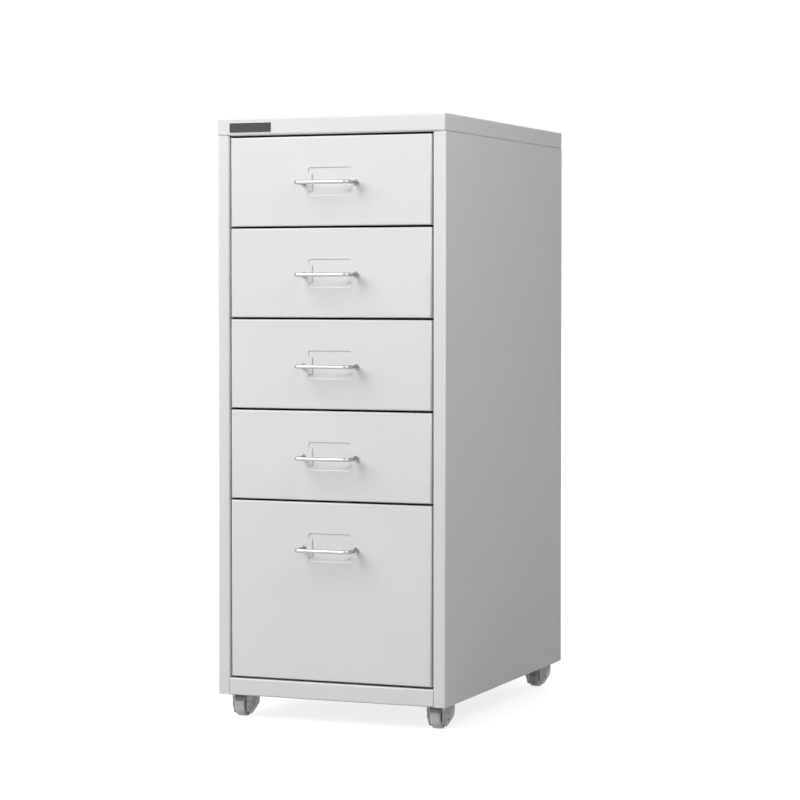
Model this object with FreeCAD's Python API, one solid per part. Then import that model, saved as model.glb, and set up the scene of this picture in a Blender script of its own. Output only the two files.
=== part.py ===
import FreeCAD, Part
import math
import os

from FreeCAD import Vector

# A drawer cabinet of folded steel sheet on four swivel casters: four shallow drawers over one
# deep one, each running on folded ledges and pulled by a bent wire handle.
# Millimetres. X is to the right, Y to the back and Z up. The origin is on the floor, under the
# middle of the whole object, handles included.

# Carcass
width = 280.0
depth = 410.0                # from the drawer faces to the back panel
height = 690.0
cover_skirt = 20.4           # height of the cover's folded skirt
rail_height = 19.6           # height of the rail under the deep drawer
panel_sheet = 0.8
inside_bend = 0.8            # inside radius of the folds that show
front_flange = 14.8          # width of the side panels' folded edges
flange_return = 12.0         # how far the front flange is folded back into the carcass
cover_return = 14.0          # width of the lip folded in under the cover's skirt
rail_return = 11.0           # width of the lip folded in under the rail
rail_end_gap = 0.15          # between the rail and the flange at each end of it
floor_edge_gap = 0.3         # round the cabinet floor
hem_height = 7.0             # the side panels' lower edge is folded up on itself
back_edge_inset = 0.4        # back panel's side edges, in from the side panels

# Drawer faces
shallow_drawers = 4
shallow_face = 101.0
drawer_gap = 2.6             # above, between and below the faces
face_side_gap = 2.5          # between a face and the front flange beside it
front_sheet = 0.8
front_return = 12.0          # depth of the edge folded back round a face

# Pressed label holder
label_width = 52.8
label_height = 32.3
label_drop = 51.0            # from the top of a face to the middle of the holder
label_depth = 0.9
label_corner = 2.5
bridge_width = 4.6           # the lanced strip at each end, which holds the card
bridge_height = 21.5
bridge_sheet = 0.6
bridge_rise = 0.3            # how far a strip stands out of the face

# Wire handle
wire = 5.0                   # diameter
handle_centres = 64.0
handle_reach = 27.5          # from a face to the front of the bar
handle_drop = 52.5           # from the top of a face to the middle of the bar
handle_bend = 7.0            # radius of the wire's centre line at its corners
bend_steps = 3               # straight lengths that make up each bend
wire_sides = 12              # flats that make up the wire's round section

# Drawer trays
tray_sheet = 0.7
tray_back_gap = 26.8         # from a tray to the panels' rear folds
tray_drop = 12.0             # from the top of a face to the rim of the tray
tray_lip = 8.0               # front edge of the tray's bottom, folded up behind the face
rim_height = 6.0             # rim folded down on itself

# Runners
runner_sheet = 1.0
runner_inside = 15.0         # between the ledge and the lip over it
ledge_rise = 6.0             # from the bottom of a face to the underside of its ledges
ledge_lap = 7.0              # how far a ledge reaches in under the tray
lip_gap = 2.0                # between the runner's lip and the tray's side
run_gap = 0.3                # between the ledge and what slides on it
runner_end_gap = 0.6         # from a runner's ends to the panels' folded edges

# Stop clips, which ride in the runners and catch behind the front flange
clip_inset = 31.3            # from the back of a tray to its clips
clip_length = 18.0
clip_web_gap = 2.0
clip_lip_gap = 0.6
clip_chamfer = 1.5
peg = 5.0                    # side of the square peg
peg_fit = 0.1
peg_head = 1.2               # thickness of the peg's barbed head
peg_barb = 0.8               # how far the head stands out over and under the peg

# Caster channels, folded from thicker sheet
caster_side_inset = 19.0     # from the side of the cabinet to a caster's swivel axis
caster_end_inset = 35.0      # from the front or back of the cabinet to the same axis
channel_sheet = 1.2
channel_width = 40.0
channel_height = 10.8
channel_lip = 9.0

# Casters
wheel_diameter = 26.0
wheel_width = 12.3
axle_radius = 2.0
axle_fit = 0.08
hub_gap = 0.3                # between the wheel's hub and the bosses of the fork
trail = 6.0                  # from the swivel axis to the axle
fork_radius = 16.0
fork_sides = 36              # flats that make up the cup's round wall
fork_sheet = 1.5
fork_shoulder = 8.0          # from the axle up to where the cheeks begin to narrow
fork_tip = 2.5               # floor to the lower tip of the cheeks
fork_tip_reach = 9.0         # from the fork's middle plane to the outside of that tip
tip_share = 0.5              # half the tip's flat, as a part of its height under the axle
fork_window = 7.2            # half the width of the opening for the wheel
window_crown = 3.0           # how far the opening stops under the crown at the front
back_window_rise = 4.0       # from the axle up to the top of the opening at the back
boss_radius = 4.2
boss_sides = 12              # flats that make up its round side
wheel_gap = 3.2              # between the wheel and the head of the stem
stem_radius = 4.0
stem_fit = 0.06              # between the stem and the fork's crown
stem_flats = 13.0            # across the collar, the head and the nut
stem_collar = 2.6            # height of the collar between fork and channel
stem_head = 2.4
stem_nut = 6.5
swivel_gap = 0.15            # over and under the fork's crown
shank_width = 7.0            # the square shank, which can't turn in the channel
shank_fit = 0.1

overrun = 5.0                # how far every cutting shape runs past what it cuts
hexagon_sides = 6

# Levels of the casters, and of the carcass that stands on them
axle_height = wheel_diameter / 2
shoulder_height = axle_height + fork_shoulder
head_bottom = wheel_diameter + wheel_gap
fork_top = head_bottom + stem_head + swivel_gap + fork_sheet
seat_height = fork_top + swivel_gap + stem_collar  # underside of the channels
floor_top = seat_height + channel_height + panel_sheet
floor_clearance = floor_top - rail_height

# Planes that the pieces share
front = -(handle_reach + depth) / 2 + handle_reach
back = front + depth
seam = height - cover_skirt
wall = width / 2 - panel_sheet                     # inner face of a side panel
flange_edge = width / 2 - front_flange             # inner edge of a front flange
face_half = flange_edge - face_side_gap
tray_half = face_half - front_sheet
tray_front = front + front_sheet + inside_bend     # clear of the fold behind the face
tray_back = back - 2 * panel_sheet - tray_back_gap
runner_front = front + flange_return + runner_end_gap
runner_back = back - 2 * panel_sheet - inside_bend - runner_end_gap
caster_x = width / 2 - caster_side_inset

TO_X = Vector(1, 0, 0)
TO_Y = Vector(0, 1, 0)
TO_Z = Vector(0, 0, 1)


# Shapes that many pieces are made from

def block(low, high):
    """A block between two corners."""
    size = high - low
    return Part.makeBox(size.x, size.y, size.z, low)


def edges_of(side):
    """The edges round one side of a block, each named by the two sides that meet there."""
    beside = {"front": ("left", "right", "bottom", "top"),
              "bottom": ("left", "right", "front", "back"),
              "top": ("left", "right", "front", "back")}
    return [(side, other) for other in beside[side]]


def rounded_block(low, high, radius, folds):
    """A block with the named edges rounded."""
    solid = block(low, high)
    place = {"left": ("x", low.x), "right": ("x", high.x), "front": ("y", low.y),
             "back": ("y", high.y), "bottom": ("z", low.z), "top": ("z", high.z)}
    edges = []
    for edge in solid.Edges:
        middle = edge.CenterOfMass
        touched = {side for side, (axis, value) in place.items()
                   if abs(getattr(middle, axis) - value) < Part.Precision.confusion()}
        if any(set(fold) <= touched for fold in folds):
            edges.append(edge)
    return solid.makeFillet(radius, edges)


def rod(start, axis, length, radius):
    """A round bar from its starting point along an axis."""
    return Part.makeCylinder(radius, length, start, axis)


def regular_outline(centre, axis, to_corner, sides):
    """A closed outline with equal sides, square to an axis."""
    sideways = TO_X if axis.cross(TO_X).Length else TO_Y
    upwards = axis.cross(sideways)
    corners = []
    for side in range(sides):
        angle = side / sides * math.tau
        corners.append(centre + (sideways * math.cos(angle) + upwards * math.sin(angle))
                       * to_corner)
    return Part.makePolygon(corners + corners[:1])


def hexagon(level, height):
    """One of the caster stem's hexagonal parts, from its lower level up."""
    to_corner = stem_flats / 2 / math.cos(math.pi / hexagon_sides)
    outline = regular_outline(TO_Z * level, TO_Z, to_corner, hexagon_sides)
    return Part.Face(outline).extrude(TO_Z * height)


def to_the_right(shape):
    """The right-hand piece of a pair whose left-hand piece is given."""
    return shape.mirror(Vector(0, 0, 0), TO_X)


def group(shapes):
    """Separate solids that are kept as one named group."""
    return Part.makeCompound(shapes)


# Carcass

def top_cover():
    """A shallow cap with its skirt folded down and a lip folded in below."""
    low = Vector(-width / 2, front, seam)
    high = Vector(width / 2, back, height)
    sheet = Vector(panel_sheet, panel_sheet, panel_sheet)
    folds = edges_of("top") + edges_of("bottom")
    cover = rounded_block(low, high, inside_bend + panel_sheet, folds)
    cover = cover.cut(rounded_block(low + sheet, high - sheet, inside_bend, folds))
    lip = Vector(cover_return, cover_return, 0)
    inside = Vector(high.x, high.y, height - 2 * panel_sheet)
    return cover.cut(block(low + lip - TO_Z * overrun, inside - lip))


def left_side_panel():
    """One sheet, folded in at the front, back and top, with its front flange returned."""
    low = Vector(-width / 2, front, floor_clearance)
    high = Vector(-flange_edge, back - panel_sheet, seam)
    folds = [("left", "front"), ("front", "right"), ("left", "back"), ("left", "top")]
    panel = rounded_block(low, high, inside_bend + panel_sheet, folds)
    hollow_low = Vector(-wall, front + panel_sheet, floor_clearance - overrun)
    hollow_high = Vector(-flange_edge - panel_sheet, high.y - panel_sheet, seam - panel_sheet)
    panel = panel.cut(rounded_block(hollow_low, hollow_high, inside_bend, folds))
    past_return = Vector(-flange_edge - front_flange / 2, front + flange_return, hollow_low.z)
    panel = panel.cut(block(past_return, hollow_high + TO_X * overrun))
    hem_low = Vector(-wall, front + panel_sheet + inside_bend, floor_clearance)
    hem_high = Vector(panel_sheet - wall, hollow_high.y - inside_bend,
                      floor_clearance + hem_height)
    return panel.fuse(block(hem_low, hem_high)).removeSplitter()


def back_panel():
    """A flat sheet over the side panels' rear flanges."""
    half = width / 2 - back_edge_inset
    return block(Vector(-half, back - panel_sheet, floor_clearance), Vector(half, back, seam))


def bottom_panel():
    """The cabinet's floor, folded down at the front as the rail and in again under it."""
    half = flange_edge - rail_end_gap
    low = Vector(-half, front, floor_clearance)
    high = Vector(half, front + flange_return + floor_edge_gap + overrun, floor_top)
    folds = [("front", "top"), ("front", "bottom")]
    rail = rounded_block(low, high, inside_bend + panel_sheet, folds)
    hollow_low = Vector(-half - overrun, front + panel_sheet, floor_clearance + panel_sheet)
    hollow_high = Vector(half + overrun, high.y + overrun, floor_top - panel_sheet)
    rail = rail.cut(rounded_block(hollow_low, hollow_high, inside_bend, folds))
    past_lip = Vector(-half - overrun, front + rail_return, floor_clearance - overrun)
    rail = rail.cut(block(past_lip, hollow_high))
    floor = block(Vector(floor_edge_gap - wall, front + flange_return + floor_edge_gap,
                         floor_top - panel_sheet),
                  Vector(wall - floor_edge_gap, back - 2 * panel_sheet - floor_edge_gap,
                         floor_top))
    return rail.fuse(floor).removeSplitter()


def caster_channel(middle):
    """A folded channel from side panel to side panel under the floor, lips turned inwards."""
    low = Vector(-wall, middle - channel_width / 2, seat_height)
    high = Vector(wall, middle + channel_width / 2, floor_top - panel_sheet)
    sheet = Vector(-overrun, channel_sheet, channel_sheet)
    channel = block(low, high).cut(block(low + sheet, high - sheet))
    slot_low = Vector(-wall - overrun, low.y + channel_lip, high.z - 2 * channel_sheet)
    slot_high = Vector(wall + overrun, high.y - channel_lip, high.z + overrun)
    channel = channel.cut(block(slot_low, slot_high))
    half = Vector(shank_width / 2 + shank_fit, shank_width / 2 + shank_fit, overrun)
    for x in (-caster_x, caster_x):
        seat = Vector(x, middle, seat_height)
        channel = channel.cut(block(seat - half, seat + half))
    return channel


def caster_places():
    """The four swivel axes."""
    rows = {"front": front + caster_end_inset, "rear": back - caster_end_inset}
    columns = {"left": -caster_x, "right": caster_x}
    return {f"{row}_{column}": Vector(x, y, 0)
            for row, y in rows.items() for column, x in columns.items()}


# Runners

def left_runner(face_bottom):
    """A ledge for the tray with a lip over it, folded in one and welded to the side panel."""
    low = Vector(-wall, runner_front, face_bottom + ledge_rise)
    high = Vector(ledge_lap - tray_half, runner_back,
                  low.z + 2 * runner_sheet + runner_inside)
    hollow_low = low + Vector(runner_sheet, -overrun, runner_sheet)
    hollow_high = high + Vector(overrun, overrun, -runner_sheet)
    runner = block(low, high).cut(block(hollow_low, hollow_high))
    past_lip = Vector(-tray_half - lip_gap, hollow_low.y, high.z - 2 * runner_sheet)
    return runner.cut(block(past_lip, hollow_high + TO_Z * overrun))


# Drawers

def drawer_faces():
    """Bottom and top of each drawer face, the top drawer first. The deep one takes the rest."""
    faces = []
    face_top = seam - drawer_gap
    for _ in range(shallow_drawers):
        faces.append((face_top - shallow_face, face_top))
        face_top -= shallow_face + drawer_gap
    faces.append((floor_top + drawer_gap, face_top))
    return faces


def tray_bottom(face_bottom):
    """Underside of a tray, which slides just over its ledges."""
    return face_bottom + ledge_rise + runner_sheet + run_gap


def drawer_front(face_bottom, face_top):
    """A folded pan with a pressed label holder."""
    folds = edges_of("front")
    low = Vector(-face_half, front, face_bottom)
    high = Vector(face_half, front + front_return, face_top)
    sheet = Vector(front_sheet, 0, front_sheet)
    pan = rounded_block(low, high, inside_bend + front_sheet, folds)
    hollow_low = low + sheet + TO_Y * front_sheet
    hollow_high = high - sheet + TO_Y * overrun
    pan = pan.cut(rounded_block(hollow_low, hollow_high, inside_bend, folds))
    return label_holder(pan, face_top - label_drop)


def label_holder(pan, level):
    """Presses a shallow recess into the face and leaves a strip standing over each end of it."""
    corners = [("left", "bottom"), ("left", "top"), ("right", "bottom"), ("right", "top")]
    half = Vector(label_width / 2, 0, label_height / 2)
    middle = Vector(0, front, level)
    margin = Vector(front_sheet, 0, front_sheet)
    bulge = block(middle - half - margin,
                  middle + half + margin + TO_Y * (label_depth + front_sheet))
    recess = rounded_block(middle - half - TO_Y * overrun, middle + half + TO_Y * label_depth,
                           label_corner, corners)
    pan = pan.fuse(bulge).cut(recess)
    bridge = block(Vector(-label_width / 2 - front_sheet, front - bridge_rise,
                          level - bridge_height / 2),
                   Vector(bridge_width - label_width / 2, front - bridge_rise + bridge_sheet,
                          level + bridge_height / 2))
    return pan.fuse([bridge, to_the_right(bridge)]).removeSplitter()


def drawer_tray(face_bottom, face_top):
    """Bottom, sides and back folded from one sheet, with a folded rim and a low lip in front."""
    low = Vector(-tray_half, tray_front, tray_bottom(face_bottom))
    high = Vector(tray_half, tray_back, face_top - tray_drop)
    sheet = Vector(tray_sheet, tray_sheet, 0)
    rim_bottom = high.z - rim_height
    hollow = block(low + sheet + TO_Z * tray_sheet, Vector(high.x, high.y, rim_bottom) - sheet)
    throat = block(Vector(low.x, low.y, rim_bottom - overrun) + sheet * 2,
                   high - sheet * 2 + TO_Z * overrun)
    open_front = block(Vector(low.x + 2 * tray_sheet, low.y - overrun, low.z + tray_lip),
                       Vector(high.x - 2 * tray_sheet, low.y + 2 * tray_sheet + overrun,
                              high.z + overrun))
    peg_holes = peg_bars(face_bottom, overrun, overrun, peg_fit)
    return block(low, high).cut([hollow, throat, open_front, peg_holes]).removeSplitter()


def clip_span(face_bottom):
    """Lowest and highest corners of the left stop clip's block."""
    clip_back = tray_back - clip_inset
    low = Vector(runner_sheet + clip_web_gap - wall, clip_back - clip_length,
                 tray_bottom(face_bottom))
    high = Vector(-tray_half, clip_back, low.z - run_gap + runner_inside - clip_lip_gap)
    return low, high


def peg_bars(face_bottom, outside, inside, margin):
    """Square bars through both sides of the tray, at the middle of the clips."""
    low, high = clip_span(face_bottom)
    middle = (low + high) / 2
    half = Vector(0, peg / 2 + margin, peg / 2 + margin)
    bar = block(Vector(-tray_half - outside, middle.y, middle.z) - half,
                Vector(tray_sheet - tray_half + inside, middle.y, middle.z) + half)
    return group([bar, to_the_right(bar)])


def stop_clips(face_bottom):
    """Two moulded clips, each snapped through the tray's side by a barbed peg."""
    low, high = clip_span(face_bottom)
    middle = (low + high) / 2
    clip = block(low, high)
    outer_ends = [edge for edge in clip.Edges if edge.BoundBox.XMax < middle.x
                  and edge.BoundBox.YLength < clip_chamfer]
    clip = clip.makeChamfer(clip_chamfer, outer_ends)
    bar = peg_bars(face_bottom, 0, peg_head, 0).Solids[0]
    barb = Vector(0, peg / 2, peg / 2 + peg_barb)
    inside = Vector(tray_sheet - tray_half, middle.y, middle.z)
    head = block(inside - barb, inside + barb + TO_X * peg_head)
    clip = clip.fuse([bar, head]).removeSplitter()
    return group([clip, to_the_right(clip)])


def wire_handle(face_top):
    """One length of wire with two bends, its ends held on the face by screws from behind."""
    level = face_top - handle_drop
    half = handle_centres / 2
    bar = front - handle_reach + wire / 2
    centre = Vector(half - handle_bend, bar + handle_bend, level)
    right_bend = []
    for step in range(bend_steps + 1):
        angle = (step / bend_steps - 1) * math.pi / 2
        right_bend.append(centre + Vector(math.cos(angle), math.sin(angle), 0) * handle_bend)
    left_bend = [Vector(-point.x, point.y, level) for point in reversed(right_bend)]
    left_foot = Vector(-half, front, level)
    right_foot = Vector(half, front, level)
    path = Part.makePolygon([left_foot, *left_bend, *right_bend, right_foot])
    section = regular_outline(left_foot, TO_Y, wire / 2, wire_sides)
    mitred = 1
    return path.makePipeShell([section], True, False, mitred)


# Casters, each modelled with its swivel axis on Z and its wheel towards the front

def caster_stem():
    """A bolt up through the fork's crown, with the collar that parts fork and channel and a nut."""
    nut_bottom = seat_height + channel_sheet
    neck = rod(TO_Z * head_bottom, TO_Z, seat_height - head_bottom, stem_radius)
    half = Vector(shank_width / 2, shank_width / 2, 0)
    square = block(TO_Z * seat_height - half, TO_Z * nut_bottom + half)
    parts = [hexagon(head_bottom, stem_head), hexagon(seat_height - stem_collar, stem_collar),
             square, hexagon(nut_bottom, stem_nut)]
    return neck.fuse(parts).removeSplitter()


def cheek_outline():
    """Side view of the fork: a straight crown that narrows to a blunt tip under the axle."""
    half = axle_height - fork_tip
    tip_front = Vector(0, -trail - half * tip_share, fork_tip)
    tip_back = Vector(0, half * tip_share - trail, fork_tip)
    waist_front = Vector(0, -trail - half, axle_height - half * tip_share)
    waist_back = Vector(0, half - trail, axle_height - half * tip_share)
    shoulder_front = Vector(0, -fork_radius, shoulder_height)
    shoulder_back = Vector(0, fork_radius, shoulder_height)
    up = TO_Z * (fork_top - shoulder_height)
    outline = [tip_front, waist_front, shoulder_front, shoulder_front + up, shoulder_back + up,
               shoulder_back, waist_back, tip_back, tip_front]
    return Part.Face(Part.makePolygon(outline))


def fork_form(radius, tip_reach, top):
    """A round cup whose two sides lean in, flat, from the shoulder down to the tip."""
    side_view = [Vector(radius, -radius, top), Vector(radius, -radius, shoulder_height),
                 Vector(tip_reach, -radius, fork_tip),
                 Vector(tip_reach, -radius, fork_tip - overrun)]
    other_side = [Vector(-point.x, point.y, point.z) for point in reversed(side_view)]
    outline = Part.Face(Part.makePolygon(side_view + other_side + side_view[:1]))
    plan = Part.Face(regular_outline(TO_Z * (fork_tip - overrun), TO_Z, radius, fork_sides))
    cup = plan.extrude(TO_Z * (top + overrun - fork_tip))
    return cup.common(outline.extrude(TO_Y * 2 * radius))


def caster_fork():
    """A pressed cup that narrows to two cheeks, with bosses in to the hub and the axle."""
    outer = fork_form(fork_radius, fork_tip_reach, fork_top)
    inner = fork_form(fork_radius - fork_sheet, fork_tip_reach - fork_sheet,
                      fork_top - fork_sheet)
    outline = cheek_outline().translated(TO_X * -fork_radius)
    fork = outer.cut(inner).common(outline.extrude(TO_X * 2 * fork_radius))
    front_window = block(Vector(-fork_window, -fork_radius - overrun, fork_tip - overrun),
                         Vector(fork_window, 0, fork_top - window_crown))
    back_window = block(Vector(-fork_window, 0, fork_tip - overrun),
                        Vector(fork_window, fork_radius + overrun, axle_height + back_window_rise))
    hole = rod(TO_Z * (fork_top - overrun), TO_Z, 2 * overrun, stem_radius + stem_fit)
    fork = fork.cut([front_window, back_window, hole])
    boss_half = wheel_width / 2 + hub_gap
    boss_start = Vector(boss_half, -trail, axle_height)
    boss_outline = Part.Face(regular_outline(boss_start, TO_X, boss_radius, boss_sides))
    boss = boss_outline.extrude(TO_X * fork_radius).common(outer)
    axle = rod(boss_start - TO_X * 2 * boss_half, TO_X, 2 * boss_half, axle_radius)
    return fork.fuse([boss, to_the_right(boss), axle]).removeSplitter()


def caster_wheel():
    """A moulded wheel with its bore."""
    start = Vector(-wheel_width / 2, -trail, axle_height)
    wheel = rod(start, TO_X, wheel_width, wheel_diameter / 2)
    return wheel.cut(rod(start - TO_X * overrun, TO_X, wheel_width + 2 * overrun,
                         axle_radius + axle_fit))


def all_parts():
    """Every named piece in its place."""
    parts = {"top_cover": top_cover(),
             "left_side_panel": left_side_panel(),
             "right_side_panel": to_the_right(left_side_panel()),
             "back_panel": back_panel(),
             "bottom_panel": bottom_panel(),
             "front_caster_channel": caster_channel(front + caster_end_inset),
             "rear_caster_channel": caster_channel(back - caster_end_inset)}
    for number, (face_bottom, face_top) in enumerate(drawer_faces(), 1):
        runner = left_runner(face_bottom)
        parts[f"left_runner_{number}"] = runner
        parts[f"right_runner_{number}"] = to_the_right(runner)
        parts[f"drawer_{number}_front"] = drawer_front(face_bottom, face_top)
        parts[f"drawer_{number}_tray"] = drawer_tray(face_bottom, face_top)
        parts[f"drawer_{number}_handle"] = wire_handle(face_top)
        parts[f"drawer_{number}_stop_clips"] = stop_clips(face_bottom)
    pieces = {"stem": caster_stem(), "fork": caster_fork(), "wheel": caster_wheel()}
    for corner, place in caster_places().items():
        for piece, shape in pieces.items():
            parts[f"caster_{corner}_{piece}"] = shape.translated(place)
    return parts


os.makedirs("parts", exist_ok=True)
for name, shape in all_parts().items():
    shape.exportStep(f"parts/{name}.step")
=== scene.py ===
import math

import bmesh
import bpy
from mathutils import Matrix, Vector


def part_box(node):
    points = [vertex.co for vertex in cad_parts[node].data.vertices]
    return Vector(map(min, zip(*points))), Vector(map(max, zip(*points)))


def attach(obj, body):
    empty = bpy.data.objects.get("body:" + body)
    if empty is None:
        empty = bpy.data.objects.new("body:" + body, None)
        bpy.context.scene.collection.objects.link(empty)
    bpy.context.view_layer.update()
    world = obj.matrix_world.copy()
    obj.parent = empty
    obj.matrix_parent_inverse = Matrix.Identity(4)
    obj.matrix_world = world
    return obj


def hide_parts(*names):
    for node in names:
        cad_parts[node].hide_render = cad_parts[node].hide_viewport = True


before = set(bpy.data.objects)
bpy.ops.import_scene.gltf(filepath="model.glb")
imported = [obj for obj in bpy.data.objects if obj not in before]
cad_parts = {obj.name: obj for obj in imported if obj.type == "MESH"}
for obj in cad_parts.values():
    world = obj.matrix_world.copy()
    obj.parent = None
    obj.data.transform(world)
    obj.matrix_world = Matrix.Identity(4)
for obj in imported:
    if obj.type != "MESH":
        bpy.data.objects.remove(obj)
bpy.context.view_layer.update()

# The cover is a shallow cap of steel sheet, folded down all round and in again below, with its
# corners welded and ground. It is powder-coated white, like the rest of the carcass.

mm = 0.001


class Value:
    """The output of a node, so that shader maths reads as plain arithmetic."""

    def __init__(self, tree, socket):
        self.tree = tree
        self.socket = socket

    def maths(self, operation, first, second):
        return self.tree.node("ShaderNodeMath", {"operation": operation}, {0: first, 1: second})

    def __add__(self, other):
        return self.maths("ADD", self, other)

    def __mul__(self, other):
        return self.maths("MULTIPLY", self, other)

    __radd__ = __add__
    __rmul__ = __mul__


class NodeTree:
    """The nodes of a material or a world. Constants go on the shader's own sockets."""

    def __init__(self, owner, shader, constants):
        owner.use_nodes = True
        self.nodes = owner.node_tree.nodes
        self.links = owner.node_tree.links
        self.shader = self.nodes[shader]
        for socket, value in constants.items():
            self.shader.inputs[socket].default_value = value

    def node(self, kind, settings=None, inputs=None, output=0):
        node = self.nodes.new(kind)
        for name, value in (settings or {}).items():
            setattr(node, name, value)
        for socket, value in (inputs or {}).items():
            self.feed(node.inputs[socket], value)
        return Value(self, node.outputs[output])

    def feed(self, socket, value):
        if isinstance(value, Value):
            self.links.new(value.socket, socket)
        else:
            socket.default_value = value


class Finish(NodeTree):
    """One surface finish."""

    def __init__(self, name, constants):
        self.material = bpy.data.materials.new(name)
        super().__init__(self.material, "Principled BSDF", constants)
        self.place = self.node("ShaderNodeTexCoord", output="Object")

    def noise(self, size, detail=1.0):
        """Soft random values between 0 and 1, in patches of about that size."""
        inputs = {"Vector": self.place, "Scale": 1 / size, "Detail": detail}
        return self.node("ShaderNodeTexNoise", inputs=inputs)

    def steps(self, value, low, high):
        """A value spread so that low becomes 0 and high becomes 1, and cut off beyond them."""
        inputs = {"Value": value, "From Min": low, "From Max": high}
        return self.node("ShaderNodeMapRange", inputs=inputs)

    def colour(self, share, first, second):
        """Blends two colours into the finish's own colour."""
        inputs = {0: share, 6: (*first, 1), 7: (*second, 1)}
        mixed = self.node("ShaderNodeMix", {"data_type": "RGBA"}, inputs, 2)
        self.feed(self.shader.inputs["Base Color"], mixed)

    def roughness(self, value):
        self.feed(self.shader.inputs["Roughness"], value)

    def relief(self, height, depth):
        """Raises and sinks the surface by up to that depth."""
        normal = self.node("ShaderNodeBump", inputs={"Height": height, "Distance": depth})
        self.feed(self.shader.inputs["Normal"], normal)


def powder_coat(name, light, dark):
    """Baked powder paint: fine orange peel, an even satin gloss and a slightly uneven film."""
    finish = Finish(name, {"Specular IOR Level": 0.45})
    grain = finish.noise(0.8 * mm)
    peel = finish.noise(3.5 * mm)
    film = finish.steps(finish.noise(160 * mm, 3.0), 0.3, 0.7)
    finish.colour(film, dark, light)
    finish.roughness(0.40 + 0.10 * grain)
    finish.relief(grain * 0.35 + peel * 0.65, 0.035 * mm)
    return finish


def block(low, high):
    """A block between two corners."""
    bm = bmesh.new()
    place = Matrix.Translation((low + high) / 2) @ Matrix.Diagonal((*(high - low), 1))
    bmesh.ops.create_cube(bm, size=1, matrix=place)
    return bm


def round_edges(bm, edges, radius, segments=4):
    """Rounds edges, and shades only the rounded strips smooth, so that flat sheet stays flat."""
    made = bmesh.ops.bevel(bm, geom=edges, offset=radius, segments=segments, profile=0.5,
                           affect="EDGES", material=-1, clamp_overlap=True)
    for face in made["faces"]:
        face.smooth = True


def sharp_edges(bm, test=lambda point: True):
    """The edges between faces at a steep angle whose ends both pass a test."""
    steep = math.radians(50)
    return [edge for edge in bm.edges if len(edge.link_faces) == 2
            and edge.calc_face_angle(0) > steep and all(test(v.co) for v in edge.verts)]


def make_piece(bm, name, body, finish, replaced=(), sheet=0.0):
    """Turns a bmesh into a piece of the object. A sheet's thickness goes in from its skin."""
    for edge in bm.edges:
        if sheet and edge.is_boundary:
            edge.smooth = False
    mesh = bpy.data.meshes.new(name)
    bm.to_mesh(mesh)
    bm.free()
    mesh.materials.append(finish.material)
    piece = bpy.data.objects.new(name, mesh)
    bpy.context.scene.collection.objects.link(piece)
    if sheet:
        thickness = piece.modifiers.new("sheet", "SOLIDIFY")
        thickness.thickness = sheet
        thickness.offset = -1
        thickness.use_even_offset = True
    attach(piece, body)
    if replaced:
        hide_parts(*replaced)
    return piece


carcass_paint = powder_coat("white_powder_coat", (0.815, 0.815, 0.81), (0.79, 0.79, 0.785))
sheet_steel = 0.8 * mm
corner_bend = 2.2 * mm
cover_return = 14 * mm

cover_low, cover_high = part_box("top_cover")
cover = block(cover_low, cover_high)
underside = min(cover.faces, key=lambda face: face.calc_center_median().z)
bmesh.ops.inset_individual(cover, faces=[underside], thickness=cover_return)
bmesh.ops.delete(cover, geom=[underside], context="FACES")
round_edges(cover, sharp_edges(cover), corner_bend)
make_piece(cover, "cover", "cabinet", carcass_paint, ["top_cover"], sheet_steel)

# Each side panel is one sheet, folded in at the front, back and top. The front fold is turned
# back again to stiffen the opening, and the lower edge is folded up flat on itself.


def turn_outwards(bm, outward):
    """Makes all faces of a skin point outwards, as its largest face across a direction must."""
    bmesh.ops.recalc_face_normals(bm, faces=bm.faces)
    largest = max(bm.faces, key=lambda face: face.calc_area() * abs(face.normal.dot(outward)))
    if largest.normal.dot(outward) < 0:
        bmesh.ops.reverse_faces(bm, faces=bm.faces)


def run_on(bm, edges, run):
    """Extrudes edges straight along a vector, and gives the new edges."""
    made = bmesh.ops.extrude_edge_only(bm, edges=edges)["geom"]
    bmesh.ops.translate(bm, verts=[v for v in made if isinstance(v, bmesh.types.BMVert)], vec=run)
    return [edge for edge in made if isinstance(edge, bmesh.types.BMEdge)]


def folded_strip(outline, run, outward):
    """A skin that follows an outline of a few points and runs straight along a vector."""
    bm = bmesh.new()
    corners = [bm.verts.new(point) for point in outline]
    edges = [bm.edges.new(pair) for pair in zip(corners, corners[1:])]
    run_on(bm, edges, run)
    turn_outwards(bm, outward)
    return bm


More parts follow.
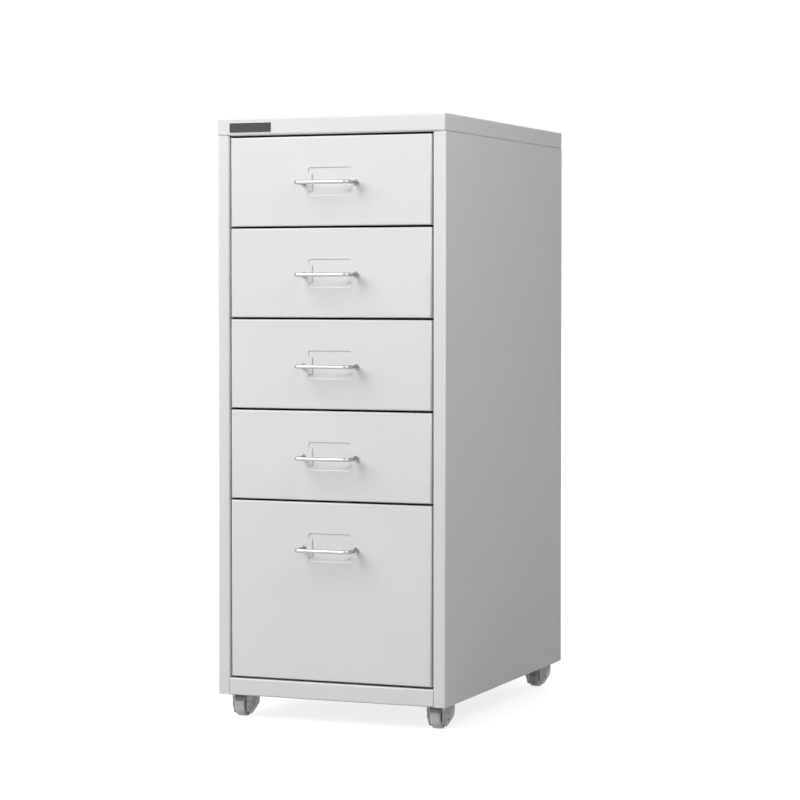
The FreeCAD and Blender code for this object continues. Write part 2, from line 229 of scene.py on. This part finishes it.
tolerance = 0.01 * mm
flange_return = 12 * mm
outer_bend = 1.6 * mm
hem_height = 7 * mm
hem_bend = 0.25 * mm
for side, name in ((-1, "left"), (1, "right")):
    low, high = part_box(f"{name}_side_panel")
    outside, inside = (low.x, high.x) if side < 0 else (high.x, low.x)
    outline = [(inside, low.y + flange_return, low.z), (inside, low.y, low.z),
               (outside, low.y, low.z), (outside, high.y, low.z), (inside, high.y, low.z)]
    panel = folded_strip(outline, (0, 0, high.z - low.z), Vector((side, 0, 0)))
    upper = [edge for edge in panel.edges if all(
        abs(v.co.z - high.z) < mm and abs(v.co.x - outside) < mm for v in edge.verts)]
    run_on(panel, upper, (inside - outside, 0, 0))
    turn_outwards(panel, Vector((side, 0, 0)))
    folds = [edge for edge in sharp_edges(panel)
             if abs(edge.verts[0].co.z - edge.verts[1].co.z) > (high.z - low.z) / 2]
    corners = [edge for edge in folds if abs(edge.verts[0].co.x - outside) < mm]
    round_edges(panel, [edge for edge in folds if edge not in corners], outer_bend)
    round_edges(panel, corners, corner_bend)
    bmesh.ops.remove_doubles(panel, verts=panel.verts, dist=tolerance)
    make_piece(panel, f"{name}_side", "cabinet", carcass_paint,
               [f"{name}_side_panel"], sheet_steel)
    ply = [outside - side * sheet_steel, outside - side * 2 * sheet_steel]
    hem = block(Vector((min(ply), low.y + outer_bend, low.z)),
                Vector((max(ply), high.y - outer_bend, low.z + hem_height)))
    round_edges(hem, sharp_edges(hem), hem_bend, 2)
    make_piece(hem, f"{name}_side_hem", "cabinet", carcass_paint)

# The back panel is a flat sheet, riveted over the rear folds of the side panels. Each rivet sits
# in a small pressed dimple, so that its low head stays level with the sheet.


def upright(centre, facing):
    """The place of a flat shape that stands upright and faces the front (-1) or the back (1)."""
    return Matrix.Translation(centre) @ Matrix.Rotation(-facing * math.pi / 2, 4, "X")


def upright_sheet(bm, centre, width, height, facing, columns=1):
    """A flat upright sheet round its centre. Gives its points."""
    place = upright(centre, facing) @ Matrix.Diagonal((width, height, 1, 1))
    return bmesh.ops.create_grid(bm, x_segments=columns, y_segments=1, size=0.5,
                                 matrix=place)["verts"]


def press(bm, faces, steps):
    """Presses faces in by small steps, each a width inwards and a depth, in millimetres."""
    for inwards, deeper in steps:
        made = bmesh.ops.inset_individual(bm, faces=faces, thickness=inwards * mm,
                                          depth=-deeper * mm)
        for face in made["faces"]:
            face.smooth = True


low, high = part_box("back_panel")
side_inset = 7 * mm
end_inset = 25 * mm
levels = 6
dimple_radius = 4.4 * mm
head_sides = 24
dimple = [(0.25, 0.08), (0.25, 0.22), (0.25, 0.22), (0.25, 0.08), (0.30, 0.0)]
rivet_head = [(0.20, -0.22), (0.45, -0.16), (0.70, -0.08)]
back = bmesh.new()
middle = Vector((0, high.y, (low.z + high.z) / 2))
upright_sheet(back, middle, high.x - low.x, high.z - low.z, 1)
rims = list(back.edges)
bmesh.ops.delete(back, geom=list(back.faces), context="FACES_ONLY")
for x in (low.x + side_inset, high.x - side_inset):
    for k in range(levels):
        z = low.z + end_inset + k / (levels - 1) * (high.z - low.z - 2 * end_inset)
        bmesh.ops.create_circle(back, cap_ends=True, segments=head_sides, radius=dimple_radius,
                                matrix=upright((x, high.y, z), 1))
rivets = list(back.faces)
for rivet in rivets:
    rims.extend(rivet.edges)
bmesh.ops.triangle_fill(back, use_beauty=True, edges=rims)
turn_outwards(back, Vector((0, 1, 0)))
press(back, rivets, dimple + rivet_head)
make_piece(back, "back_sheet", "cabinet", carcass_paint, ["back_panel"],
           high.y - low.y)

# The cabinet floor is one sheet whose front edge is folded down as the rail under the deep
# drawer, and in again at the bottom. It rests on two channels that take the casters.


def finish_node(name, finish):
    """Gives a CAD piece that stays as it is its real finish."""
    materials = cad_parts[name].data.materials
    materials.clear()
    materials.append(finish.material)


low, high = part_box("bottom_panel")
rail_gap = 0.15 * mm
rail_return = 11 * mm
floor_gap = 0.3 * mm
rail_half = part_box("right_side_panel")[0].x - rail_gap
floor_front = low.y + flange_return + floor_gap
rail_outline = [(-rail_half, low.y + rail_return, low.z), (-rail_half, low.y, low.z),
                (-rail_half, low.y, high.z), (-rail_half, floor_front, high.z)]
rail = folded_strip(rail_outline, (2 * rail_half, 0, 0), Vector((0, -1, 0)))
round_edges(rail, sharp_edges(rail), outer_bend)
make_piece(rail, "bottom_rail", "cabinet", carcass_paint, ["bottom_panel"],
           sheet_steel)
floor_sheet = block(Vector((low.x, floor_front, high.z - sheet_steel)), high)
make_piece(floor_sheet, "cabinet_floor", "cabinet", carcass_paint)
for name in ("front_caster_channel", "rear_caster_channel"):
    finish_node(name, carcass_paint)

# Each runner is folded from thicker sheet with a ledge that carries the drawer and a lip that
# keeps it from tipping. It is spot-welded to the side panel.

runner_sheet = 1.0 * mm
runner_bend = 1.6 * mm
ledge_beyond_lip = 9 * mm
for side, name in ((-1, "left"), (1, "right")):
    for number in range(1, 6):
        low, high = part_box(f"{name}_runner_{number}")
        web, ledge = (low.x, high.x) if side < 0 else (high.x, low.x)
        lip = ledge + side * ledge_beyond_lip
        outline = [(lip, low.y, high.z), (web, low.y, high.z), (web, low.y, low.z),
                   (ledge, low.y, low.z)]
        runner = folded_strip(outline, (0, high.y - low.y, 0), Vector((side, 0, 0)))
        round_edges(runner, sharp_edges(runner), runner_bend)
        make_piece(runner, f"{name}_runner_{number}_folded", "cabinet", carcass_paint,
                   [f"{name}_runner_{number}"], runner_sheet)

# Each drawer face is a pan of thin sheet with its edges folded back. A shallow label holder is
# pressed into it, with a strip lanced out at each end to hold the card.

drawer_paint = powder_coat("white_powder_coat_drawers", (0.825, 0.825, 0.82), (0.80, 0.80, 0.795))
label_half = Vector((26.4 * mm, 0, 16.15 * mm))
label_corner = 2.5 * mm
label_drop = 51 * mm
shoulder = [(0.10, 0.03), (0.09, 0.12), (0.07, 0.30), (0.07, 0.30), (0.09, 0.12), (0.10, 0.03)]
strip_out, strip_in = 27.6 * mm, 21.8 * mm
strip_half_height = 9.9 * mm
strip_drop = 0.6 * mm
strip_rise = 0.3 * mm
strip_root = 0.35 * mm
strip_ramp = 0.35
strip_sheet = 0.6 * mm

for number in range(1, 6):
    low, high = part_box(f"drawer_{number}_front")
    face_y = low.y + strip_rise
    level = high.z - label_drop
    pan = bmesh.new()
    middle = Vector((0, face_y, (low.z + high.z) / 2))
    upright_sheet(pan, middle, high.x - low.x, high.z - low.z, -1)
    outer_edges = list(pan.edges)
    bmesh.ops.delete(pan, geom=list(pan.faces), context="FACES_ONLY")
    inner = upright_sheet(pan, (0, face_y, level), 2 * label_half.x, 2 * label_half.z, -1)
    bmesh.ops.bevel(pan, geom=inner, offset=label_corner, segments=6, profile=0.5,
                    affect="VERTICES", material=-1)
    holder = next(iter(pan.faces))
    bmesh.ops.triangle_fill(pan, use_beauty=True, edges=outer_edges + list(holder.edges))
    run_on(pan, outer_edges, (0, high.y - face_y, 0))
    turn_outwards(pan, Vector((0, -1, 0)))
    front_folds = sharp_edges(pan, lambda point: abs(point.y - face_y) < tolerance)
    round_edges(pan, front_folds, outer_bend)
    press(pan, [holder], shoulder)
    make_piece(pan, f"drawer_{number}_face", f"drawer_{number}", drawer_paint,
               [f"drawer_{number}_front"], sheet_steel)

    strips = bmesh.new()
    width = strip_out - strip_in
    for side in (-1, 1):
        centre = Vector((side * (strip_in + strip_out) / 2, face_y, level - strip_drop))
        for v in upright_sheet(strips, centre, width, 2 * strip_half_height, -1, 10):
            ramp = min(1, (strip_out - abs(v.co.x)) / width / strip_ramp)
            v.co.y += strip_root - (strip_root + strip_rise) * ramp * ramp * (3 - 2 * ramp)
    for face in strips.faces:
        face.smooth = True
    make_piece(strips, f"drawer_{number}_card_strips", f"drawer_{number}", drawer_paint,
               sheet=strip_sheet)

# Each tray is folded from one sheet, with its rim folded down on itself and a low lip in front
# that is welded to the back of the face.

tray_sheet = 0.7 * mm
tray_bend = 1.5 * mm
tray_lip = 8 * mm
rim_bend = 0.6 * mm
rim_height = 6 * mm
for number in range(1, 6):
    low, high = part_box(f"drawer_{number}_tray")
    tray = block(low, high)
    lip_top = low.z + tray_lip
    bmesh.ops.bisect_plane(tray, geom=list(tray.verts) + list(tray.edges) + list(tray.faces),
                           plane_co=(0, 0, lip_top), plane_no=(0, 0, 1))
    open_faces = [face for face in tray.faces if face.normal.z > 0.5
                  or (face.normal.y < -0.5 and face.calc_center_median().z > lip_top)]
    bmesh.ops.delete(tray, geom=open_faces, context="FACES")
    for inwards, down in ((2 * tray_sheet, 0), (0, rim_height)):
        rim = [edge for edge in tray.edges if len(edge.link_faces) == 1
               and min(v.co.z for v in edge.verts) > high.z - mm
               and abs(edge.verts[0].co.y + edge.verts[1].co.y - 2 * low.y) > mm]
        made = bmesh.ops.extrude_edge_only(tray, edges=rim)["geom"]
        for v in made:
            if isinstance(v, bmesh.types.BMVert):
                v.co.x -= math.copysign(inwards, v.co.x)
                v.co.z -= down
                if v.co.y > low.y + mm:
                    v.co.y -= inwards
    turn_outwards(tray, Vector((0, 0, -1)))
    bottom_folds = sharp_edges(tray, lambda point: point.z < low.z + 0.1 * mm)
    round_edges(tray, bottom_folds, tray_bend)
    rim_folds = sharp_edges(tray, lambda point: point.z > high.z - 0.1 * mm)
    round_edges(tray, rim_folds, rim_bend, 3)
    make_piece(tray, f"drawer_{number}_folded_tray", f"drawer_{number}", drawer_paint,
               [f"drawer_{number}_tray"], tray_sheet)

# The stop clips are small mouldings of natural nylon, snapped into square holes in the tray's
# sides. They ride in the runners and stop the drawer behind the front flange.

nylon = Finish("natural_nylon", {"Subsurface Weight": 0.1, "Subsurface Radius": (0.002,) * 3})
nylon.colour(nylon.noise(6 * mm, 2.0), (0.80, 0.78, 0.73), (0.74, 0.72, 0.66))
nylon.roughness(0.38 + 0.10 * nylon.noise(2 * mm))
nylon.relief(nylon.noise(1.2 * mm), 0.02 * mm)
for number in range(1, 6):
    finish_node(f"drawer_{number}_stop_clips", nylon)

# Each handle is one length of wire, bent at both ends, tapped for a screw in each end and
# chrome-plated. A screw from inside the drawer holds each end on the face, with a thin collar.

# The chrome's colour is partly its own tone and partly painted reflection: it is set darker than
# bare chrome, so that the bar's lower half reads grey as if it reflected darker surroundings.
chrome_with_painted_reflection = Finish("chrome_plate_painted_reflection", {"Metallic": 1.0})
chrome_with_painted_reflection.colour(chrome_with_painted_reflection.noise(5 * mm), (0.48, 0.48, 0.49), (0.43, 0.43, 0.44))
chrome_with_painted_reflection.roughness(0.07 + 0.06 * chrome_with_painted_reflection.noise(3 * mm, 3.0))
chrome_with_painted_reflection.relief(chrome_with_painted_reflection.noise(2.5 * mm), 0.006 * mm)
# The zinc's colour is painted shade: it is set much darker than plated zinc, to stand in for the
# shade and dark reflections that the forks and the other zinc parts catch under the cabinet.
zinc_with_painted_shade = Finish("zinc_plate_painted_shade", {"Metallic": 1.0})
spangle = zinc_with_painted_shade.steps(zinc_with_painted_shade.noise(3.2 * mm, 3.0), 0.35, 0.65)
zinc_with_painted_shade.colour(spangle, (0.245, 0.245, 0.25), (0.175, 0.175, 0.18))
zinc_with_painted_shade.roughness(0.26 + 0.12 * zinc_with_painted_shade.noise(2.5 * mm, 2.0))
zinc_with_painted_shade.relief(zinc_with_painted_shade.noise(1.1 * mm, 2.0), 0.012 * mm)

merge_distance = 0.001 * mm
wire = 2.25 * mm
wire_sides = 28
wire_bend = 5.5 * mm
bar_lift = 0.1 * mm
leg_x = 32.25 * mm
foot_depth = 0.4 * mm
bite = 0.1 * mm
collar_inner, collar_outer = 3.7 * mm, 3.2 * mm
collar_height = 1.6 * mm
screw_radius, screw_rise = 3.6 * mm, 2.2 * mm


def add_dome(bm, base, axis, radius, rise):
    """A low screw or rivet head with a flat middle, standing on its base point along an axis."""
    turn = Vector((0, 0, 1)).rotation_difference(Vector(axis)).to_matrix().to_4x4()
    ring = bmesh.ops.create_circle(bm, cap_ends=True, segments=head_sides, radius=radius,
                                   matrix=Matrix.Translation(base) @ turn)["verts"]
    cap = ring[0].link_faces[0]
    rings = 4
    rounded = 0.5
    for k in range(rings):
        angle = math.pi / 2 / rings
        narrower = radius * (math.cos(k * angle) - math.cos((k + 1) * angle)) * rounded
        higher = rise * (math.sin((k + 1) * angle) - math.sin(k * angle))
        made = bmesh.ops.inset_individual(bm, faces=[cap], thickness=narrower)
        for v in cap.verts:
            v.co += Vector(axis) * higher
        for face in made["faces"]:
            face.smooth = True
    cap.smooth = True
    bm.faces.new(reversed(ring))
    bmesh.ops.recalc_face_normals(bm, faces=bm.faces)


for number in range(1, 6):
    face_low, face_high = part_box(f"drawer_{number}_front")
    face_y = face_low.y + strip_rise
    low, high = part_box(f"drawer_{number}_handle")
    level = low.z + wire + bar_lift
    bar_y = low.y + wire
    handle = bmesh.new()
    foot_y = face_y + foot_depth
    leg = foot_y - bar_y - wire_bend
    bmesh.ops.create_circle(handle, segments=wire_sides, radius=wire,
                            matrix=upright((-leg_x, foot_y, level), -1))
    ring = run_on(handle, list(handle.edges), (0, -leg, 0))
    for centre_x, run in ((wire_bend - leg_x, (2 * (leg_x - wire_bend), 0, 0)),
                          (leg_x - wire_bend, (0, leg, 0))):
        verts = list(dict.fromkeys(v for edge in ring for v in edge.verts))
        made = bmesh.ops.spin(handle, geom=verts + ring, cent=(centre_x, bar_y + wire_bend, level),
                              axis=(0, 0, 1), angle=math.pi / 2, steps=10)
        ring = [item for item in made["geom_last"] if isinstance(item, bmesh.types.BMEdge)]
        ring = run_on(handle, ring, run)
    bmesh.ops.remove_doubles(handle, verts=handle.verts, dist=merge_distance)
    ends = [edge for edge in handle.edges if edge.is_boundary]
    bmesh.ops.holes_fill(handle, edges=ends, sides=0)
    bmesh.ops.recalc_face_normals(handle, faces=handle.faces)
    for side in (-1, 1):
        collar = upright((side * leg_x, face_y + bite - collar_height / 2, level), -1)
        bmesh.ops.create_cone(handle, cap_ends=True, segments=wire_sides, radius1=collar_inner,
                              radius2=collar_outer, depth=collar_height, matrix=collar)
    for face in handle.faces:
        face.smooth = len(face.verts) == 4
    make_piece(handle, f"drawer_{number}_wire_handle", f"drawer_{number}", chrome_with_painted_reflection,
               [f"drawer_{number}_handle"])
    screws = bmesh.new()
    for side in (-1, 1):
        base = Vector((side * leg_x, face_y + sheet_steel - bite, level))
        add_dome(screws, base, (0, 1, 0), screw_radius, screw_rise)
    make_piece(screws, f"drawer_{number}_handle_screws", f"drawer_{number}", zinc_with_painted_shade)

# Each caster has a fork pressed from thicker sheet: a round cup that turns under the stem's
# collar and narrows to two flat cheeks, with a riveted axle. It is zinc-plated, and the zinc's
# colour is set dark as painted shade, standing in for the shade and dark reflections under the
# cabinet.

stem_hole = 4.1 * mm
crown_flat = 9 * mm
cup_radius = 16 * mm
crown_radius = 2.5 * mm
shoulder_z = 21 * mm
tip_z = 2.5 * mm
tip_reach = 9 * mm
tip_radius = 10.5 * mm
axle = Vector((0, -6 * mm, 13 * mm))
rear_slope = math.radians(316.6)
window = 7.2 * mm
window_drop = 4.5 * mm
soft_edge = 1.2 * mm
fork_sheet = 1.5 * mm
turned_steps = 96
wheel_half = 6.15 * mm
hub_gap = 0.3 * mm
boss_radius, boss_edge, boss_sink = 4.2 * mm, 0.4 * mm, 0.6 * mm
axle_radius, axle_edge = 2 * mm, 0.1 * mm
rivet_radius, rivet_rise, rivet_sink = 3.3 * mm, 1.6 * mm, 0.7 * mm


def cheek_limit(z):
    """How far from the middle plane a cheek may reach at a height."""
    return tip_reach + (z - tip_z) / (shoulder_z - tip_z) * (cup_radius - tip_reach)


def lower_edge(y):
    """The height of the cheeks' lower edge: round below the axle, then straight up to the rear."""
    leave = axle.y + tip_radius * math.cos(rear_slope)
    if y < leave:
        return axle.z - math.sqrt(tip_radius ** 2 - (y - axle.y) ** 2)
    start = axle.z + tip_radius * math.sin(rear_slope)
    return start - (y - leave) / math.tan(rear_slope)


def pressed_fork(top):
    """The fork's outer skin, with its swivel axis on Z."""
    bm = bmesh.new()
    outline = [(stem_hole, top), (crown_flat, top)]
    for k in range(6):
        angle = k / 5 * math.pi / 2
        outline.append((cup_radius - crown_radius * (1 - math.sin(angle)),
                        top - crown_radius * (1 - math.cos(angle))))
    window_top = top - window_drop
    outline.append((cup_radius, window_top))
    outline.append((cup_radius, (window_top + shoulder_z) / 2))
    rows = 14
    for k in range(rows + 1):
        outline.append((cup_radius, shoulder_z + (tip_z - shoulder_z) * k / rows))
    points = [bm.verts.new((radius, 0, z)) for radius, z in outline]
    edges = [bm.edges.new(pair) for pair in zip(points, points[1:])]
    bmesh.ops.spin(bm, geom=points + edges, cent=(0, 0, 0), axis=(0, 0, 1), angle=math.tau,
                   steps=turned_steps, use_merge=True)
    bmesh.ops.remove_doubles(bm, verts=bm.verts, dist=merge_distance)
    opened = []
    for face in bm.faces:
        centre = face.calc_center_median()
        if abs(centre.x) < window and centre.z < (window_top if centre.y < 0 else shoulder_z):
            opened.append(face)
    bmesh.ops.delete(bm, geom=opened, context="FACES")
    for v in bm.verts:
        if v.co.z < shoulder_z - tolerance:
            share = (shoulder_z - v.co.z) / (shoulder_z - tip_z)
            v.co.z = shoulder_z - share * (shoulder_z - lower_edge(v.co.y))
        limit = cheek_limit(v.co.z)
        near = max(soft_edge - abs(abs(v.co.x) - limit), 0) / soft_edge
        v.co.x = math.copysign(min(abs(v.co.x), limit) - near * near * soft_edge / 4, v.co.x)
    bmesh.ops.recalc_face_normals(bm, faces=bm.faces)
    highest = max(bm.faces, key=lambda face: face.calc_center_median().z)
    if highest.normal.z < 0:
        bmesh.ops.reverse_faces(bm, faces=bm.faces)
    for face in bm.faces:
        face.smooth = True
    return bm


def add_rod(bm, start, end, radius, rounding):
    """A round bar between two points along X, with its end edges rounded."""
    place = Matrix.Translation((start + end) / 2) @ Matrix.Rotation(math.pi / 2, 4, "Y")
    made = bmesh.ops.create_cone(bm, cap_ends=True, segments=40, radius1=radius, radius2=radius,
                                 depth=abs(end.x - start.x), matrix=place)
    rims = dict.fromkeys(edge for v in made["verts"] for edge in v.link_edges
                         if abs(edge.verts[0].co.x - edge.verts[1].co.x) < tolerance)
    for v in made["verts"]:
        for face in v.link_faces:
            face.smooth = len(face.verts) == 4
    round_edges(bm, list(rims), rounding, 3)


wheel_plastic = Finish("grey_wheel_plastic", {"Specular IOR Level": 0.5})
wheel_plastic.colour(wheel_plastic.noise(7 * mm, 2.0), (0.80, 0.80, 0.795), (0.73, 0.73, 0.725))
wheel_plastic.roughness(0.20 + 0.10 * wheel_plastic.noise(2 * mm, 2.0))
wheel_plastic.relief(wheel_plastic.noise(0.9 * mm), 0.012 * mm)

# The wheels are moulded in grey plastic, with a thinner web between hub and rim. Their section
# is given in millimetres, along the axle and out from it.
half_section = [(-6.15, 2.08), (-6.15, 4.6), (-5.7, 5.0), (-5.2, 5.4), (-5.2, 9.4), (-5.6, 9.9),
                (-6.1, 10.3), (-6.15, 11.2), (-6.0, 11.9), (-5.6, 12.45), (-5.0, 12.8),
                (-4.2, 12.97), (-2.0, 13.0)]
wheel_section = half_section + [(-x, radius) for x, radius in reversed(half_section)]

for corner in ("front_left", "front_right", "rear_left", "rear_right"):
    low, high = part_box(f"caster_{corner}_fork")
    swivel = Vector(((low.x + high.x) / 2, (low.y + high.y) / 2, 0))
    fork = pressed_fork(high.z)
    bmesh.ops.translate(fork, verts=fork.verts, vec=swivel)
    made = make_piece(fork, f"caster_{corner}_pressed_fork", f"caster_{corner}_swivel", zinc_with_painted_shade,
                      [f"caster_{corner}_fork"], fork_sheet)
    softened = made.modifiers.new("sheared edges", "BEVEL")
    softened.width = 0.2 * mm
    softened.segments = 2
    softened.angle_limit = math.radians(50)
    softened.harden_normals = True

    axle_parts = bmesh.new()
    centre = swivel + axle
    reach = cheek_limit(axle.z)
    for side in (-1, 1):
        outwards = Vector((side, 0, 0))
        add_rod(axle_parts, centre + outwards * (wheel_half + hub_gap),
                centre + outwards * (reach - boss_sink), boss_radius, boss_edge)
        add_dome(axle_parts, centre + outwards * (reach - rivet_sink), outwards, rivet_radius,
                 rivet_rise)
    add_rod(axle_parts, centre - outwards * reach, centre + outwards * reach, axle_radius,
            axle_edge)
    make_piece(axle_parts, f"caster_{corner}_axle", f"caster_{corner}_swivel", zinc_with_painted_shade)
    finish_node(f"caster_{corner}_stem", zinc_with_painted_shade)

    wheel = bmesh.new()
    points = [wheel.verts.new((x * mm, 0, radius * mm)) for x, radius in wheel_section]
    edges = [wheel.edges.new(pair) for pair in zip(points, points[1:] + points[:1])]
    bmesh.ops.spin(wheel, geom=points + edges, cent=(0, 0, 0), axis=(1, 0, 0), angle=math.tau,
                   steps=turned_steps, use_merge=True)
    bmesh.ops.remove_doubles(wheel, verts=wheel.verts, dist=merge_distance)
    bmesh.ops.recalc_face_normals(wheel, faces=wheel.faces)
    for face in wheel.faces:
        face.smooth = True
    bmesh.ops.translate(wheel, verts=wheel.verts, vec=centre)
    make_piece(wheel, f"caster_{corner}_moulded_wheel", f"caster_{corner}_roll", wheel_plastic,
               [f"caster_{corner}_wheel"])

# A small dark plate of pressed metal, with a fine raised rim, is stuck to the left end of the
# cover's front skirt. It is left bare.

plate_finish = Finish("dark_plate", {"Metallic": 0.6})
plate_finish.colour(plate_finish.noise(4 * mm, 2.0), (0.050, 0.046, 0.044), (0.036, 0.033, 0.032))
plate_finish.roughness(0.34 + 0.1 * plate_finish.noise(1.5 * mm))
plate_finish.relief(plate_finish.noise(0.7 * mm), 0.01 * mm)
plate_low = Vector((-124.1 * mm, cover_low.y - 0.8 * mm, 673.4 * mm))
plate_high = Vector((-72.9 * mm, cover_low.y + 0.1 * mm, 683.8 * mm))
plate = block(plate_low, plate_high)
plate_face = min(plate.faces, key=lambda face: face.calc_center_median().y)
plate_rim, rim_slope, rim_depth, plate_edge = 0.5 * mm, 0.15 * mm, 0.25 * mm, 0.12 * mm
bmesh.ops.inset_individual(plate, faces=[plate_face], thickness=plate_rim)
bmesh.ops.inset_individual(plate, faces=[plate_face], thickness=rim_slope, depth=-rim_depth)
round_edges(plate, sharp_edges(plate, lambda point: point.y < plate_low.y + rim_depth / 5),
            plate_edge, 2)
make_piece(plate, "bare_plate", "cabinet", plate_finish)

# The studio: a pale floor and background under soft light from the upper left, and the camera
# where the photograph was taken, nearly level, with its view shifted a little down.


def seen_directly(tree):
    """1 for rays from the camera or by way of metal and glass, and 0 for the rest."""
    total = tree.node("ShaderNodeLightPath", output="Is Camera Ray")
    for name in ("Is Glossy Ray", "Is Transmission Ray"):
        other = tree.node("ShaderNodeLightPath", output=name)
        total = total.maths("MAXIMUM", total, other)
    return total


scene = bpy.context.scene
scene.view_settings.view_transform = "Standard"

room_light = 0.085
scene.world = bpy.data.worlds.new("studio")
studio = NodeTree(scene.world, "Background", {"Color": (1, 1, 1, 1)})
strength = room_light + (1 - room_light) * seen_directly(studio)
studio.feed(studio.shader.inputs["Strength"], strength)

pale = Finish("pale_floor", {"Base Color": (0.4, 0.4, 0.4, 1), "Roughness": 0.9,
                             "Emission Strength": 1.0})
distance = pale.node("ShaderNodeVectorMath", {"operation": "LENGTH"}, {0: pale.place}, "Value")
brighten = pale.node("ShaderNodeMapRange", {"interpolation_type": "SMOOTHSTEP"},
                     {"Value": distance, "From Min": 0.6, "From Max": 3.0,
                      "To Min": 0.80, "To Max": 1.0})
glow = pale.node("ShaderNodeMix", {"data_type": "RGBA"},
                 {0: seen_directly(pale) * brighten, 6: (0, 0, 0, 1), 7: (1, 1, 1, 1)}, 2)
pale.feed(pale.shader.inputs["Emission Color"], glow)
ground = bmesh.new()
bmesh.ops.create_grid(ground, x_segments=1, y_segments=1, size=30)
ground_mesh = bpy.data.meshes.new("studio_floor")
ground.to_mesh(ground_mesh)
ground.free()
ground_mesh.materials.append(pale.material)
ground_object = bpy.data.objects.new("studio_floor", ground_mesh)
scene.collection.objects.link(ground_object)


def soft_box(name, place, target, size, watts):
    light = bpy.data.lights.new(name, "AREA")
    light.shape = "RECTANGLE"
    light.size, light.size_y = size
    light.energy = watts
    lamp = bpy.data.objects.new(name, light)
    lamp.location = place
    lamp.rotation_euler = (Vector(target) - Vector(place)).to_track_quat("-Z", "Y").to_euler()
    scene.collection.objects.link(lamp)


soft_box("key_light", (-1.4, -1.9, 2.0), (0, 0, 0.5), (2.3, 2.3), 75)
soft_box("right_fill", (0.93, -0.65, 1.4), (0.1, 0, 0.65), (1.0, 1.0), 8.6)
soft_box("back_light", (-0.9, 2.4, 1.0), (0, 0, 0.35), (2.2, 1.6), 28)

view = bpy.data.cameras.new("photograph_camera")
view.sensor_width = 36
view.lens = 118.19
view.shift_y = -0.05
camera = bpy.data.objects.new("photograph_camera", view)
camera.location = (1.1725, -2.9145, 0.4951)
camera.rotation_euler = (math.pi / 2 - 0.0272, 0, 0.3798)
scene.collection.objects.link(camera)
scene.camera = camera
